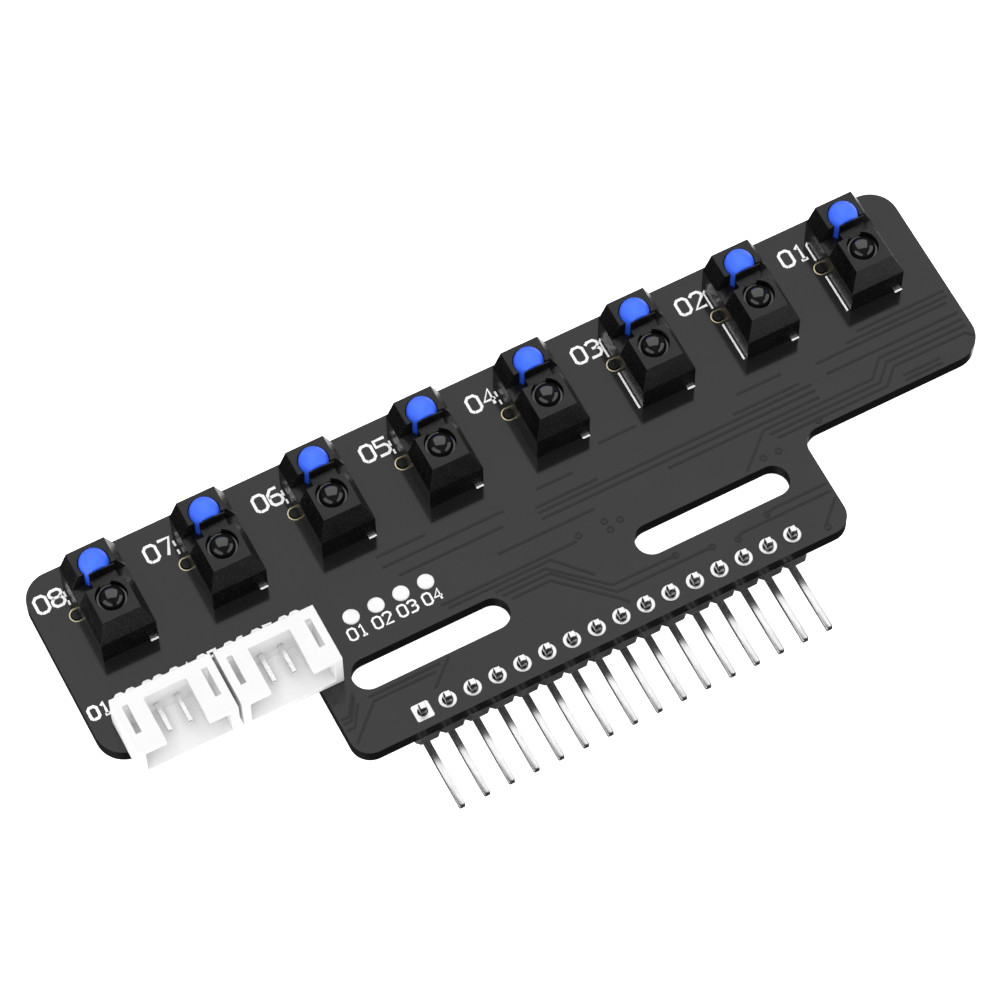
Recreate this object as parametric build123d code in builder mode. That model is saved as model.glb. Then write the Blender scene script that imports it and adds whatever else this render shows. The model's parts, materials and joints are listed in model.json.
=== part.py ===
from build123d import *
import os
from math import sqrt

# Eight-channel line sensor board of a line follower robot.
# Origin: midway between the two mounting slots, at mid thickness of the board.
# +X runs along the row of sensors towards channel 1, +Y from the pin header towards the
# sensors, +Z out of the sensor face. Millimetres.

os.makedirs("parts", exist_ok=True)

# ---- circuit board ----
board_length = 90.9
board_depth = 30.12
board_thickness = 1.6
wing_depth = 19.82
stem_width = 50.9
stem_edge_drop = 7.32
wing_corner_radius = 2.8
stem_corner_radius = 2.0
notch_radius = 1.8

# ---- mounting slots ----
slot_length = 15.9
slot_width = 3.2
slot_spacing = 29.1

# ---- reflective sensors ----
sensor_count = 8
sensor_end_margin = 6.635
sensor_edge_margin = 1.72
sensor_width = 5.5
sensor_height = 5.2
shoulder_height = 3.15
top_land = 0.4
front_slope_run = 1.0
bore_radius = 1.5
bore_web = 0.75
lens_clearance = 0.08
front_wall = 1.7
back_wall = 0.4
divider_width = 1.65
divider_depth = 2.0
divider_lead = 1.525
stop_left_dx = -1.0
stop_right_dx = 1.55
stop_thickness = 0.12
stop_rise = 0.42
stop_ledge_depth = 0.85
stop_lead = 1.06
stop_web = 0.07
stop_gap = 0.03
lens_base_height = 1.0
emitter_proud = 1.22
detector_proud = 0.35
lead_size = 0.45
lead_spacing = 2.0
lead_tail = 1.1
lead_hole_clearance = 0.13
clip_radius = 0.5
clip_hole_clearance = 0.05
clip_tail = 0.9
clip_rib_height = 0.12
left_clip_outset = 0.15
left_clip_setback = 5.35
right_clip_inset = 0.85
right_clip_setback = 1.0
plating_wall = 0.2

# ---- pin header ----
header_pitch = 2.54
header_count = 16
header_offset_x = 0.76
header_edge_margin = 1.7
header_pin = 0.64
header_block_depth = 2.54
header_block_height = 2.54
header_block_chamfer = 0.4
header_leg_drop = 1.75
header_leg_reach = 7.7
header_bend_radius = 0.35
header_pin_proud = 1.25
header_pin_chamfer = 0.16
header_hole_clearance = 0.05
pad_ring = 0.35

# ---- test pads ----
test_pad_count = 4
test_pad_radius = 0.8
test_pad_depth = 0.1
test_pad_port_gap = 3.4
test_pad_slot_gap = 4.18

# ---- four-way side entry ports ----
port_pitch = 2.0
port_ways = 4
port_width = 10.0
port_depth = 6.0
port_height = 4.8
port_gap = 0.35
port_end_margin = 1.96
port_overhang = 2.6
port_side_wall = 0.8
port_floor = 0.7
port_roof = 0.65
port_back_wall = 1.2
port_roof_opening = 4.2
port_window_width = 0.55
port_window_length = 3.0
port_window_setback = 1.1
port_pin = 0.5
port_pin_height = 2.3
port_pin_tip_setback = 1.75
port_tail_gap = 0.45
port_bend_radius = 0.2
port_hole_clearance = 0.05

# ---- parts on the back face ----
chip_length = 6.5
chip_width = 4.4
chip_height = 0.95
chip_standoff = 0.1
chip_pitch = 0.65
chip_pins_per_side = 10
chip_edge_chamfer = 0.15
chip_lead_width = 0.24
chip_lead_thickness = 0.12
chip_lead_reach = 1.0
chip_lead_foot = 0.55
chip_lead_shoulder = 0.3
chip_resistor_gap = 0.7
regulator_length = 4.5
regulator_width = 2.5
regulator_height = 1.5
regulator_key_spacing = 9.4
regulator_chamfer = 0.2
regulator_tab_length = 0.6
regulator_lead_pitch = 1.5
regulator_lead_width = 0.45
regulator_lead_length = 1.2
regulator_lead_thickness = 0.4
resistor_length = 1.6
resistor_width = 0.8
resistor_height = 0.45
resistor_offset_x = 1.1
resistor_sensor_spacing = 3.43
capacitor_length = 2.0
capacitor_width = 1.25
capacitor_height = 0.9
capacitor_gap = 1.0
lamp_length = 1.6
lamp_width = 0.8
lamp_height = 0.6
lamp_edge_margin = 1.2

# ---- low calibration key on the back face ----
key_end_margin = 9.45
key_wing_margin = 4.4
key_size = 5.2
key_base_height = 1.15
key_floor = 0.25
key_cavity_radius = 2.0
key_cover_thickness = 0.2
key_plunger_radius = 1.3
key_bore_clearance = 0.1
key_flange_radius = 1.7
key_flange_height = 0.3
key_plunger_height = 1.9
key_plunger_rounding = 0.15
key_stem_radius = 0.6
key_dome_radius = 1.8
key_dome_rise = 0.4
key_dome_thickness = 0.06
key_rest_gap = 0.02
key_lead_width = 0.7
key_lead_thickness = 0.2
key_lead_reach = 0.9
key_lead_spacing = 3.7

# ---- solder ----
solder_foot_radius = 0.75
solder_tip_radius = 0.42
solder_height = 0.7

# ---- places worked out from the sizes above ----
board_top = board_thickness / 2
board_bottom = -board_thickness / 2
stem_edge_y = -stem_edge_drop
sensor_edge_y = stem_edge_y + board_depth
wing_edge_y = sensor_edge_y - wing_depth

sensor_pitch = (board_length - 2 * sensor_end_margin) / (sensor_count - 1)
row_half = sensor_pitch * (sensor_count - 1) / 2
sensor_xs = [row_half - sensor_pitch * i for i in range(sensor_count)]
lens_spacing = 2 * bore_radius + bore_web
sensor_length = front_wall + 2 * bore_radius + lens_spacing + back_wall
sensor_top_width = 2 * (bore_radius + top_land)
sensor_front_y = sensor_edge_y - sensor_edge_margin - sensor_length
sensor_mid_y = sensor_front_y + sensor_length / 2
detector_y = sensor_front_y + front_wall + bore_radius
emitter_y = detector_y + lens_spacing
divider_y = emitter_y - divider_lead
lens_radius = bore_radius - lens_clearance
stop_back_y = emitter_y - stop_lead
stop_front_y = detector_y + bore_radius + stop_web
stop_width = stop_right_dx - stop_left_dx
stop_mid_dx = (stop_left_dx + stop_right_dx) / 2
clip_hole_radius = clip_radius + clip_hole_clearance
left_clip_dx = -(sensor_width / 2 + left_clip_outset)
left_clip_y = sensor_front_y + left_clip_setback
right_clip_dx = sensor_width / 2 - right_clip_inset
right_clip_y = sensor_front_y + right_clip_setback
lead_dx = lead_spacing / 2
lead_hole_radius = lead_size / sqrt(2) + lead_hole_clearance
lead_tail_z = board_bottom - lead_tail

header_y = stem_edge_y + header_edge_margin
header_hole_radius = header_pin / sqrt(2) + header_hole_clearance
pad_radius = header_hole_radius + pad_ring
header_first_x = header_offset_x - header_pitch * (header_count - 1) / 2
header_xs = [header_first_x + header_pitch * i for i in range(header_count)]
strip_bottom = board_bottom - header_block_height
leg_axis_z = strip_bottom - header_leg_drop
leg_tip_y = header_y - header_leg_reach

port_left_x = -board_length / 2 + port_end_margin
port_xs = [port_left_x + port_width / 2, port_left_x + port_width * 3 / 2 + port_gap]
port_names = ["left_port", "right_port"]
port_front_y = wing_edge_y - port_overhang
port_back_y = port_front_y + port_depth
port_hole_radius = port_pin / sqrt(2) + port_hole_clearance
port_tail_y = port_back_y + port_tail_gap
port_pin_z = board_top + port_pin_height
port_pin_dx = [port_pitch * (i - (port_ways - 1) / 2) for i in range(port_ways)]
test_pad_x = port_xs[1] + port_width / 2 + test_pad_port_gap
test_pad_y = slot_width / 2 + test_pad_slot_gap

resistor_y = detector_y - resistor_sensor_spacing
chip_x = 0
chip_y = resistor_y - resistor_length / 2 - chip_resistor_gap - chip_lead_reach - chip_width / 2
key_x = board_length / 2 - key_end_margin
key_y = wing_edge_y + key_wing_margin
regulator_x = key_x - regulator_key_spacing
regulator_y = key_y
lamp_y = sensor_edge_y - lamp_edge_margin
power_lamp_x = -2 * sensor_pitch

top_face = Plane.XY.offset(board_top)
under_face = Plane.XY.offset(board_bottom)
back_face = Plane(origin=(0, 0, board_bottom), x_dir=(1, 0, 0), z_dir=(0, 0, -1))

sensor_lead_points = [
    (x + side * lead_dx, y) for x in sensor_xs for y in (detector_y, emitter_y) for side in (-1, 1)
]
clip_points = [(x + left_clip_dx, left_clip_y) for x in sensor_xs]
clip_points += [(x + right_clip_dx, right_clip_y) for x in sensor_xs]
header_points = [(x, header_y) for x in header_xs]
test_points = [(test_pad_x + header_pitch * i, test_pad_y) for i in range(test_pad_count)]
port_tail_points = [(x + dx, port_tail_y) for x in port_xs for dx in port_pin_dx]


def on_back(points):
    """The same board positions, seen in the back face's own mirrored axes."""
    return [(x, -y) for x, y in points]


def save(builder, name):
    """Label one finished piece and write its STEP file."""
    builder.part.label = name
    export_step(builder.part, f"parts/{name}.step")


def bent_pin_profile(start, corner, end, size, inner_radius):
    """Closed outline of a square pin that turns one right angle, drawn in the sketch in hand.

    start, corner and end are points of its centre line.
    """
    with BuildLine():
        centre = FilletPolyline(start, corner, end, radius=inner_radius + size / 2)
    trace(lines=centre, line_width=size)


# ---- circuit board ----
with BuildPart() as circuit_board:
    with BuildSketch(under_face) as outline:
        with Locations((0, (sensor_edge_y + wing_edge_y) / 2)):
            Rectangle(board_length, wing_depth)
        with Locations((0, (sensor_edge_y + stem_edge_y) / 2)):
            Rectangle(stem_width, board_depth)
        stem_corners = outline.vertices().group_by(Axis.Y)[0]
        fillet(stem_corners, radius=stem_corner_radius)
        wing_corners = outline.vertices().sort_by(Axis.X)
        fillet(wing_corners[:2] + wing_corners[-2:], radius=wing_corner_radius)
        inner_xs = (-stem_width / 2 - wing_corner_radius, stem_width / 2 + wing_corner_radius)
        inner = outline.vertices().filter_by_position(Axis.X, *inner_xs)
        fillet(inner.sort_by(Axis.Y)[-2:], radius=notch_radius)
        with GridLocations(slot_spacing, 0, 2, 1):
            SlotOverall(slot_length, slot_width, mode=Mode.SUBTRACT)
        with Locations(*sensor_lead_points):
            Circle(lead_hole_radius, mode=Mode.SUBTRACT)
        with Locations(*clip_points):
            Circle(clip_hole_radius + plating_wall, mode=Mode.SUBTRACT)
        with Locations(*header_points[1:]):
            Circle(pad_radius, mode=Mode.SUBTRACT)
        with Locations(header_points[0]):
            Rectangle(2 * pad_radius, 2 * pad_radius, mode=Mode.SUBTRACT)
        with Locations(*port_tail_points):
            Circle(port_hole_radius, mode=Mode.SUBTRACT)
    extrude(amount=board_thickness)
    with BuildSketch(top_face):
        with Locations(*test_points):
            Circle(test_pad_radius)
    extrude(amount=-test_pad_depth, mode=Mode.SUBTRACT)
save(circuit_board, "circuit_board")

# ---- plated barrels and pads let into the board ----
with BuildPart() as clip_hole_plating:
    with BuildSketch(under_face):
        with Locations(*clip_points):
            Circle(clip_hole_radius + plating_wall)
            Circle(clip_hole_radius, mode=Mode.SUBTRACT)
    extrude(amount=board_thickness)
save(clip_hole_plating, "clip_hole_plating")

with BuildPart() as header_pads:
    with BuildSketch(under_face):
        with Locations(*header_points[1:]):
            Circle(pad_radius)
        with Locations(header_points[0]):
            Rectangle(2 * pad_radius, 2 * pad_radius)
        with Locations(*header_points):
            Circle(header_hole_radius, mode=Mode.SUBTRACT)
    extrude(amount=board_thickness)
save(header_pads, "header_pads")

with BuildPart() as test_pads:
    with BuildSketch(Plane.XY.offset(board_top - test_pad_depth)):
        with Locations(*test_points):
            Circle(test_pad_radius)
    extrude(amount=test_pad_depth)
save(test_pads, "test_pads")

# ---- reflective sensors, channel 1 at +X ----
for channel, x in enumerate(sensor_xs, start=1):
    seat = Plane(origin=(x, sensor_mid_y, board_top))
    detector_dy = detector_y - sensor_mid_y
    emitter_dy = emitter_y - sensor_mid_y

    with BuildPart() as housing:
        with BuildSketch(seat):
            Rectangle(sensor_width, sensor_length)
        extrude(amount=shoulder_height)
        with BuildSketch(seat.offset(shoulder_height)):
            Rectangle(sensor_width, sensor_length)
        with BuildSketch(seat.offset(sensor_height)):
            with Locations((0, front_slope_run / 2)):
                Rectangle(sensor_top_width, sensor_length - front_slope_run)
        loft(ruled=True)
        with BuildSketch(seat.offset(-board_thickness - clip_tail)):
            with Locations(
                (left_clip_dx, left_clip_y - sensor_mid_y),
                (right_clip_dx, right_clip_y - sensor_mid_y),
            ):
                Circle(clip_radius)
        extrude(amount=board_thickness + clip_tail + clip_rib_height)
        with BuildSketch(seat.offset(sensor_height)):
            with Locations((0, detector_dy), (0, emitter_dy)):
                Circle(bore_radius)
        extrude(amount=-sensor_height, mode=Mode.SUBTRACT)
        with BuildSketch(seat.offset(sensor_height)):
            with Locations((0, divider_y - sensor_mid_y)):
                Rectangle(sensor_width, divider_width)
        extrude(amount=-divider_depth, mode=Mode.SUBTRACT)
        with BuildSketch(seat.offset(sensor_height - stop_ledge_depth)):
            with Locations((stop_mid_dx, (stop_front_y + stop_back_y) / 2 - sensor_mid_y)):
                Rectangle(stop_width, stop_back_y - stop_front_y)
        extrude(amount=stop_ledge_depth - divider_depth)
        with BuildSketch(seat.offset(sensor_height - stop_ledge_depth)):
            with Locations((stop_mid_dx, stop_back_y - stop_thickness / 2 - sensor_mid_y)):
                Rectangle(stop_width, stop_thickness)
        extrude(amount=stop_ledge_depth + stop_rise)
    save(housing, f"sensor_{channel}_housing")

    lenses = [("detector", detector_dy, detector_proud), ("emitter", emitter_dy, emitter_proud)]
    for lens_name, lens_dy, proud in lenses:
        lens_seat = Plane(origin=(x, sensor_mid_y + lens_dy, board_top + lens_base_height))
        dome_base = sensor_height + proud - lens_radius - lens_base_height
        with BuildPart() as lens:
            with BuildSketch(lens_seat):
                Circle(lens_radius)
            extrude(amount=dome_base)
            with BuildSketch(Plane(lens_seat.origin, x_dir=(1, 0, 0), z_dir=(0, -1, 0))):
                with BuildLine():
                    Line((0, dome_base), (lens_radius, dome_base))
                    RadiusArc(
                        (lens_radius, dome_base), (0, dome_base + lens_radius), -lens_radius
                    )
                    Line((0, dome_base + lens_radius), (0, dome_base))
                make_face()
            revolve(axis=Axis(lens_seat.origin, (0, 0, 1)))
            if lens_name == "emitter":
                with BuildSketch(seat.offset(sensor_height - divider_depth - stop_gap)):
                    with Locations(
                        (
                            stop_left_dx - stop_gap + lens_radius,
                            stop_back_y + stop_gap - lens_radius - sensor_mid_y,
                        )
                    ):
                        Rectangle(2 * lens_radius, 2 * lens_radius)
                extrude(amount=divider_depth + emitter_proud + 2 * stop_gap, mode=Mode.SUBTRACT)
        save(lens, f"sensor_{channel}_{lens_name}")

    with BuildPart() as leads:
        with BuildSketch(Plane.XY.offset(lead_tail_z)):
            with Locations((x, detector_y), (x, emitter_y)):
                with GridLocations(lead_spacing, 0, 2, 1):
                    Rectangle(lead_size, lead_size)
        extrude(amount=board_top + lens_base_height - lead_tail_z)
    save(leads, f"sensor_{channel}_leads")

# ---- four-way side entry ports ----
for port_name, x in zip(port_names, port_xs):
    port_seat = Plane(origin=(x, port_back_y, board_top))
    roof = port_seat.offset(port_height)

    with BuildPart() as port_housing:
        with BuildSketch(port_seat):
            with Locations((0, -port_depth / 2)):
                Rectangle(port_width, port_depth)
        extrude(amount=port_height)
        with BuildSketch(port_seat.offset(port_floor)):
            with Locations((0, -(port_depth + port_back_wall) / 2)):
                Rectangle(port_width - 2 * port_side_wall, port_depth - port_back_wall)
        extrude(amount=port_height - port_floor - port_roof, mode=Mode.SUBTRACT)
        with BuildSketch(roof):
            with Locations((0, -(port_depth + port_back_wall) / 2)):
                Rectangle(port_roof_opening, port_depth - port_back_wall)
            window_dx = port_width / 2 - port_side_wall - port_window_width / 2
            with Locations((0, -port_window_setback - port_window_length / 2)):
                with GridLocations(2 * window_dx, 0, 2, 1):
                    Rectangle(port_window_width, port_window_length)
        extrude(amount=-port_roof, mode=Mode.SUBTRACT)
        with BuildSketch(Plane((x, port_back_y, port_pin_z), (1, 0, 0), (0, 1, 0))):
            with Locations(*[(dx, 0) for dx in port_pin_dx]):
                Rectangle(port_pin, port_pin)
        extrude(amount=-port_back_wall, mode=Mode.SUBTRACT)
    save(port_housing, f"{port_name}_housing")

    with BuildPart() as port_pins:
        with BuildSketch(*[Plane.YZ.offset(x + dx) for dx in port_pin_dx]):
            bent_pin_profile(
                (port_front_y + port_pin_tip_setback, port_pin_z),
                (port_tail_y, port_pin_z),
                (port_tail_y, lead_tail_z),
                port_pin,
                port_bend_radius,
            )
        extrude(amount=port_pin / 2, both=True)
    save(port_pins, f"{port_name}_pins")

# ---- right-angle pin header ----
with BuildPart() as header_strip:
    with BuildSketch(Plane.XY.offset(strip_bottom)):
        with Locations(*header_points):
            Rectangle(header_pitch, header_block_depth)
    extrude(amount=header_block_height)
    notch_planes = [header_first_x + header_pitch * (i - 0.5) for i in range(header_count + 1)]
    with BuildSketch(Plane.XY.offset(strip_bottom)):
        with Locations(
            *[(nx, header_y + side * header_block_depth / 2) for nx in notch_planes for side in (-1, 1)]
        ):
            Rectangle(sqrt(2) * header_block_chamfer, sqrt(2) * header_block_chamfer, rotation=45)
    extrude(amount=header_block_height, mode=Mode.SUBTRACT)
    with BuildSketch(Plane.XY.offset(strip_bottom)):
        with Locations(*header_points):
            Rectangle(header_pin, header_pin)
    extrude(amount=header_block_height, mode=Mode.SUBTRACT)
save(header_strip, "header_strip")

with BuildPart() as header_pins:
    with BuildSketch(*[Plane.YZ.offset(x) for x in header_xs]):
        bent_pin_profile(
            (header_y, board_top + header_pin_proud),
            (header_y, leg_axis_z),
            (leg_tip_y, leg_axis_z),
            header_pin,
            header_bend_radius,
        )
    extrude(amount=header_pin / 2, both=True)
    tips = header_pins.faces().filter_by(Axis.Y).group_by(Axis.Y)[0]
    chamfer(tips.edges(), length=header_pin_chamfer)
save(header_pins, "header_pins")

# ---- solder joints ----
with BuildPart() as sensor_solder:
    with Locations(*[(px, py, board_bottom - solder_height / 2) for px, py in sensor_lead_points]):
        Cone(solder_tip_radius, solder_foot_radius, solder_height)
        Box(lead_size, lead_size, solder_height, mode=Mode.SUBTRACT)
save(sensor_solder, "sensor_solder")

with BuildPart() as port_solder:
    with Locations(*[(px, py, board_bottom - solder_height / 2) for px, py in port_tail_points]):
        Cone(solder_tip_radius, solder_foot_radius, solder_height)
        Box(port_pin, port_pin, solder_height, mode=Mode.SUBTRACT)
save(port_solder, "port_solder")

# ---- microcontroller ----
with BuildPart() as microcontroller_body:
    with BuildSketch(back_face.offset(chip_standoff)):
        with Locations((chip_x, -chip_y)):
            Rectangle(chip_length, chip_width)
    extrude(amount=chip_height)
    chamfer(microcontroller_body.faces().sort_by(Axis.Z)[0].edges(), length=chip_edge_chamfer)
save(microcontroller_body, "microcontroller_body")

chip_lead_steps = [i - (chip_pins_per_side - 1) / 2 for i in range(chip_pins_per_side)]
chip_lead_planes = [Plane.YZ.offset(chip_x + chip_pitch * step) for step in chip_lead_steps]
chip_mid_z = board_bottom - chip_standoff - chip_height / 2
foot_z = board_bottom - chip_lead_thickness / 2
with BuildPart() as microcontroller_leads:
    for side in (-1, 1):
        edge_y = chip_y + side * chip_width / 2
        with BuildSketch(*chip_lead_planes):
            with BuildLine():
                lead_line = Polyline(
                    (edge_y, chip_mid_z),
                    (edge_y + side * chip_lead_shoulder, chip_mid_z),
                    (edge_y + side * (chip_lead_reach - chip_lead_foot), foot_z),
                    (edge_y + side * chip_lead_reach, foot_z),
                )
            trace(lines=lead_line, line_width=chip_lead_thickness)
        extrude(amount=chip_lead_width / 2, both=True)
save(microcontroller_leads, "microcontroller_leads")

# ---- voltage regulator ----
with BuildPart() as regulator_body:
    with BuildSketch(back_face):
        with Locations((regulator_x, -regulator_y)):
            Rectangle(regulator_length, regulator_width)
    extrude(amount=regulator_height)
    chamfer(regulator_body.faces().sort_by(Axis.Z)[0].edges(), length=regulator_chamfer)
save(regulator_body, "regulator_body")

with BuildPart() as regulator_leads:
    lead_y = regulator_y - regulator_width / 2 - regulator_lead_length / 2
    tab_y = regulator_y + (regulator_width + regulator_tab_length) / 2
    with BuildSketch(back_face):
        with Locations((regulator_x, -lead_y)):
            with GridLocations(regulator_lead_pitch, 0, 3, 1):
                Rectangle(regulator_lead_width, regulator_lead_length)
        with Locations((regulator_x, -tab_y)):
            Rectangle(regulator_lead_pitch + regulator_lead_width, regulator_tab_length)
    extrude(amount=regulator_lead_thickness)
save(regulator_leads, "regulator_leads")

# ---- chip resistors, capacitors and lamps ----
with BuildPart() as resistors:
    with BuildSketch(back_face):
        with Locations(*on_back([(x, resistor_y) for x in sensor_xs])):
            with GridLocations(2 * resistor_offset_x, 0, 2, 1):
                Rectangle(resistor_width, resistor_length)
    extrude(amount=resistor_height)
save(resistors, "resistors")

regulator_side = regulator_length / 2 + capacitor_gap + capacitor_width / 2
chip_side = chip_length / 2 + capacitor_gap + capacitor_width / 2
capacitor_points = [
    (regulator_x - regulator_side, regulator_y),
    (regulator_x + regulator_side, regulator_y),
    (chip_x + chip_side, chip_y),
]
with BuildPart() as capacitors:
    with BuildSketch(back_face):
        with Locations(*on_back(capacitor_points)):
            Rectangle(capacitor_width, capacitor_length)
    extrude(amount=capacitor_height)
save(capacitors, "capacitors")

with BuildPart() as channel_lamps:
    with BuildSketch(back_face):
        with Locations(*on_back([(x, lamp_y) for x in sensor_xs])):
            Rectangle(lamp_length, lamp_width)
    extrude(amount=lamp_height)
save(channel_lamps, "channel_lamps")

with BuildPart() as power_lamp:
    with BuildSketch(back_face):
        with Locations((power_lamp_x, -resistor_y)):
            Rectangle(lamp_length, lamp_width)
    extrude(amount=lamp_height)
save(power_lamp, "power_lamp")

# ---- calibration key ----
key_foot = (key_x, key_y, board_bottom)
key_seat = Plane(origin=key_foot, x_dir=(1, 0, 0), z_dir=(0, 0, -1))
key_axis = Axis(key_foot, (0, 0, -1))
key_section = Plane(origin=key_foot, x_dir=(1, 0, 0), z_dir=(0, 1, 0))

with BuildPart() as key_base:
    with BuildSketch(key_seat):
        Rectangle(key_size, key_size)
    extrude(amount=key_base_height)
    with BuildSketch(key_seat.offset(key_floor)):
        Circle(key_cavity_radius)
    extrude(amount=key_base_height - key_floor, mode=Mode.SUBTRACT)
save(key_base, "key_base")

with BuildPart() as key_cover:
    with BuildSketch(key_seat.offset(key_base_height)):
        Rectangle(key_size, key_size)
        Circle(key_plunger_radius + key_bore_clearance, mode=Mode.SUBTRACT)
    extrude(amount=key_cover_thickness)
save(key_cover, "key_cover")

dome_top = key_floor + key_dome_rise
flange_top = key_base_height - key_rest_gap
with BuildPart() as key_plunger:
    with BuildSketch(key_section):
        with BuildLine():
            Polyline(
                (0, dome_top),
                (key_stem_radius, dome_top),
                (key_stem_radius, flange_top - key_flange_height),
                (key_flange_radius, flange_top - key_flange_height),
                (key_flange_radius, flange_top),
                (key_plunger_radius, flange_top),
                (key_plunger_radius, key_plunger_height),
                (0, key_plunger_height),
                close=True,
            )
        make_face()
    revolve(axis=key_axis)
    fillet(key_plunger.edges().sort_by(Axis.Z)[0], radius=key_plunger_rounding)
save(key_plunger, "key_plunger")

with BuildPart() as key_dome:
    with BuildSketch(key_section):
        with BuildLine():
            outer_arc = ThreePointArc(
                (-key_dome_radius, key_floor),
                (0, dome_top),
                (key_dome_radius, key_floor),
            )
            inner_arc = ThreePointArc(
                (key_dome_radius - key_dome_thickness, key_floor),
                (0, dome_top - key_dome_thickness),
                (-key_dome_radius + key_dome_thickness, key_floor),
            )
            Line(outer_arc @ 1, inner_arc @ 0)
            Line(inner_arc @ 1, outer_arc @ 0)
        make_face()
        with Locations((-key_dome_radius / 2, key_floor)):
            Rectangle(key_dome_radius, 4 * key_dome_rise, mode=Mode.SUBTRACT)
    revolve(axis=key_axis)
save(key_dome, "key_dome")

with BuildPart() as key_leads:
    with BuildSketch(key_seat):
        with GridLocations(key_size + key_lead_reach, key_lead_spacing, 2, 2):
            Rectangle(key_lead_reach, key_lead_width)
    extrude(amount=key_lead_thickness)
save(key_leads, "key_leads")
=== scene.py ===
import json
from math import cos, pi, radians, sin

import bmesh
import bpy
from mathutils import Matrix, Vector

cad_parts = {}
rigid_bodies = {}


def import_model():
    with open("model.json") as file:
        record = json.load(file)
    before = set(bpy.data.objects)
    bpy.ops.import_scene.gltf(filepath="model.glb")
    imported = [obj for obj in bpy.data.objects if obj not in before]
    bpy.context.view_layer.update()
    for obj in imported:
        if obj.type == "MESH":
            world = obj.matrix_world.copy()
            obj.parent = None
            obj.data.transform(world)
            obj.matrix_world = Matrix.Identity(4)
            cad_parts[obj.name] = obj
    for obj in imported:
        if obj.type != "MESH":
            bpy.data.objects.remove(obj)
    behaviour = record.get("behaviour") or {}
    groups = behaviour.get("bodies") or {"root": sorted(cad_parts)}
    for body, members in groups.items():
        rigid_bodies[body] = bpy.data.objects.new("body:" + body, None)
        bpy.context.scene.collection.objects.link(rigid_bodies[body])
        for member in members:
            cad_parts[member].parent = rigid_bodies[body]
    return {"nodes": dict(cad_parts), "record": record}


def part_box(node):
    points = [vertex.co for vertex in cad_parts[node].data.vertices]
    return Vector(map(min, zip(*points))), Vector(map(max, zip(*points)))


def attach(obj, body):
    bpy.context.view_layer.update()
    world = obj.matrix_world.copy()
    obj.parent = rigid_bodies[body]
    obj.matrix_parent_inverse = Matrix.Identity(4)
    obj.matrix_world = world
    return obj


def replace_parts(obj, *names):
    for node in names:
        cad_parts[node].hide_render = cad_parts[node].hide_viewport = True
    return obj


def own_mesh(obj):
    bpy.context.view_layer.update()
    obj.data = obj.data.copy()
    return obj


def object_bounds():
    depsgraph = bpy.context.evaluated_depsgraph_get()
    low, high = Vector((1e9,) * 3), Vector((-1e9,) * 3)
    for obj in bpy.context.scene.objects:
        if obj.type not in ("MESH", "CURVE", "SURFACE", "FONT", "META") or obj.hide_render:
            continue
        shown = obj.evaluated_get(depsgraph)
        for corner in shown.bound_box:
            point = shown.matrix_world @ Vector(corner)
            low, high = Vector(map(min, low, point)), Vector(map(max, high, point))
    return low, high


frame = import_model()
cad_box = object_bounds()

# Looks of the line sensor board. Metres, in the frame of the CAD model: X along the sensors,
# Y from the header towards them, Z out of the sensor face.

MM = 0.001
WELD = 0.0005 * MM
scene = bpy.context.scene


# ---------------------------------------------------------------- places read from the frame

def centre(node):
    low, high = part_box(node)
    return (low + high) / 2


CHANNELS = range(1, 9)
board_low, board_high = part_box("circuit_board")
board_top = board_high.z
board_bottom = board_low.z
detectors = [centre(f"sensor_{n}_detector") for n in CHANNELS]
lens_radius = (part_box("sensor_1_detector")[1].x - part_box("sensor_1_detector")[0].x) / 2
emitter_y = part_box("sensor_1_emitter")[1].y - lens_radius
emitters = [Vector((at.x, emitter_y, at.z)) for at in detectors]
clip_low, clip_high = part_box("clip_hole_plating")
pads_low, pads_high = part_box("header_pads")
pins_low, pins_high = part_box("header_pins")
HEADER_COUNT = 16
pad_radius = (pads_high.y - pads_low.y) / 2
header_y = (pads_high.y + pads_low.y) / 2
header_first_x = pads_low.x + pad_radius
header_pitch = (pads_high.x - pads_low.x - 2 * pad_radius) / (HEADER_COUNT - 1)
test_low, test_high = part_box("test_pads")
TEST_COUNT = 4
test_radius = (test_high.y - test_low.y) / 2
test_y = (test_high.y + test_low.y) / 2
test_first_x = test_low.x + test_radius
test_pitch = (test_high.x - test_low.x - 2 * test_radius) / (TEST_COUNT - 1)


# ---------------------------------------------------------------- finishes

class Value:
    """A number that varies over a surface: arithmetic on it adds the Math nodes."""

    def __init__(self, finish, socket):
        self.finish = finish
        self.socket = socket

    def math(self, operation, *terms):
        inputs = dict(enumerate(terms))
        return self.finish.node("ShaderNodeMath", {"operation": operation}, inputs)

    def __add__(self, other):
        return self.math("ADD", self, other)

    def __radd__(self, other):
        return self.math("ADD", other, self)

    def __sub__(self, other):
        return self.math("SUBTRACT", self, other)

    def __rsub__(self, other):
        return self.math("SUBTRACT", other, self)

    def __mul__(self, other):
        return self.math("MULTIPLY", self, other)

    def __rmul__(self, other):
        return self.math("MULTIPLY", other, self)

    def __abs__(self):
        return self.math("ABSOLUTE", self)


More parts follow.
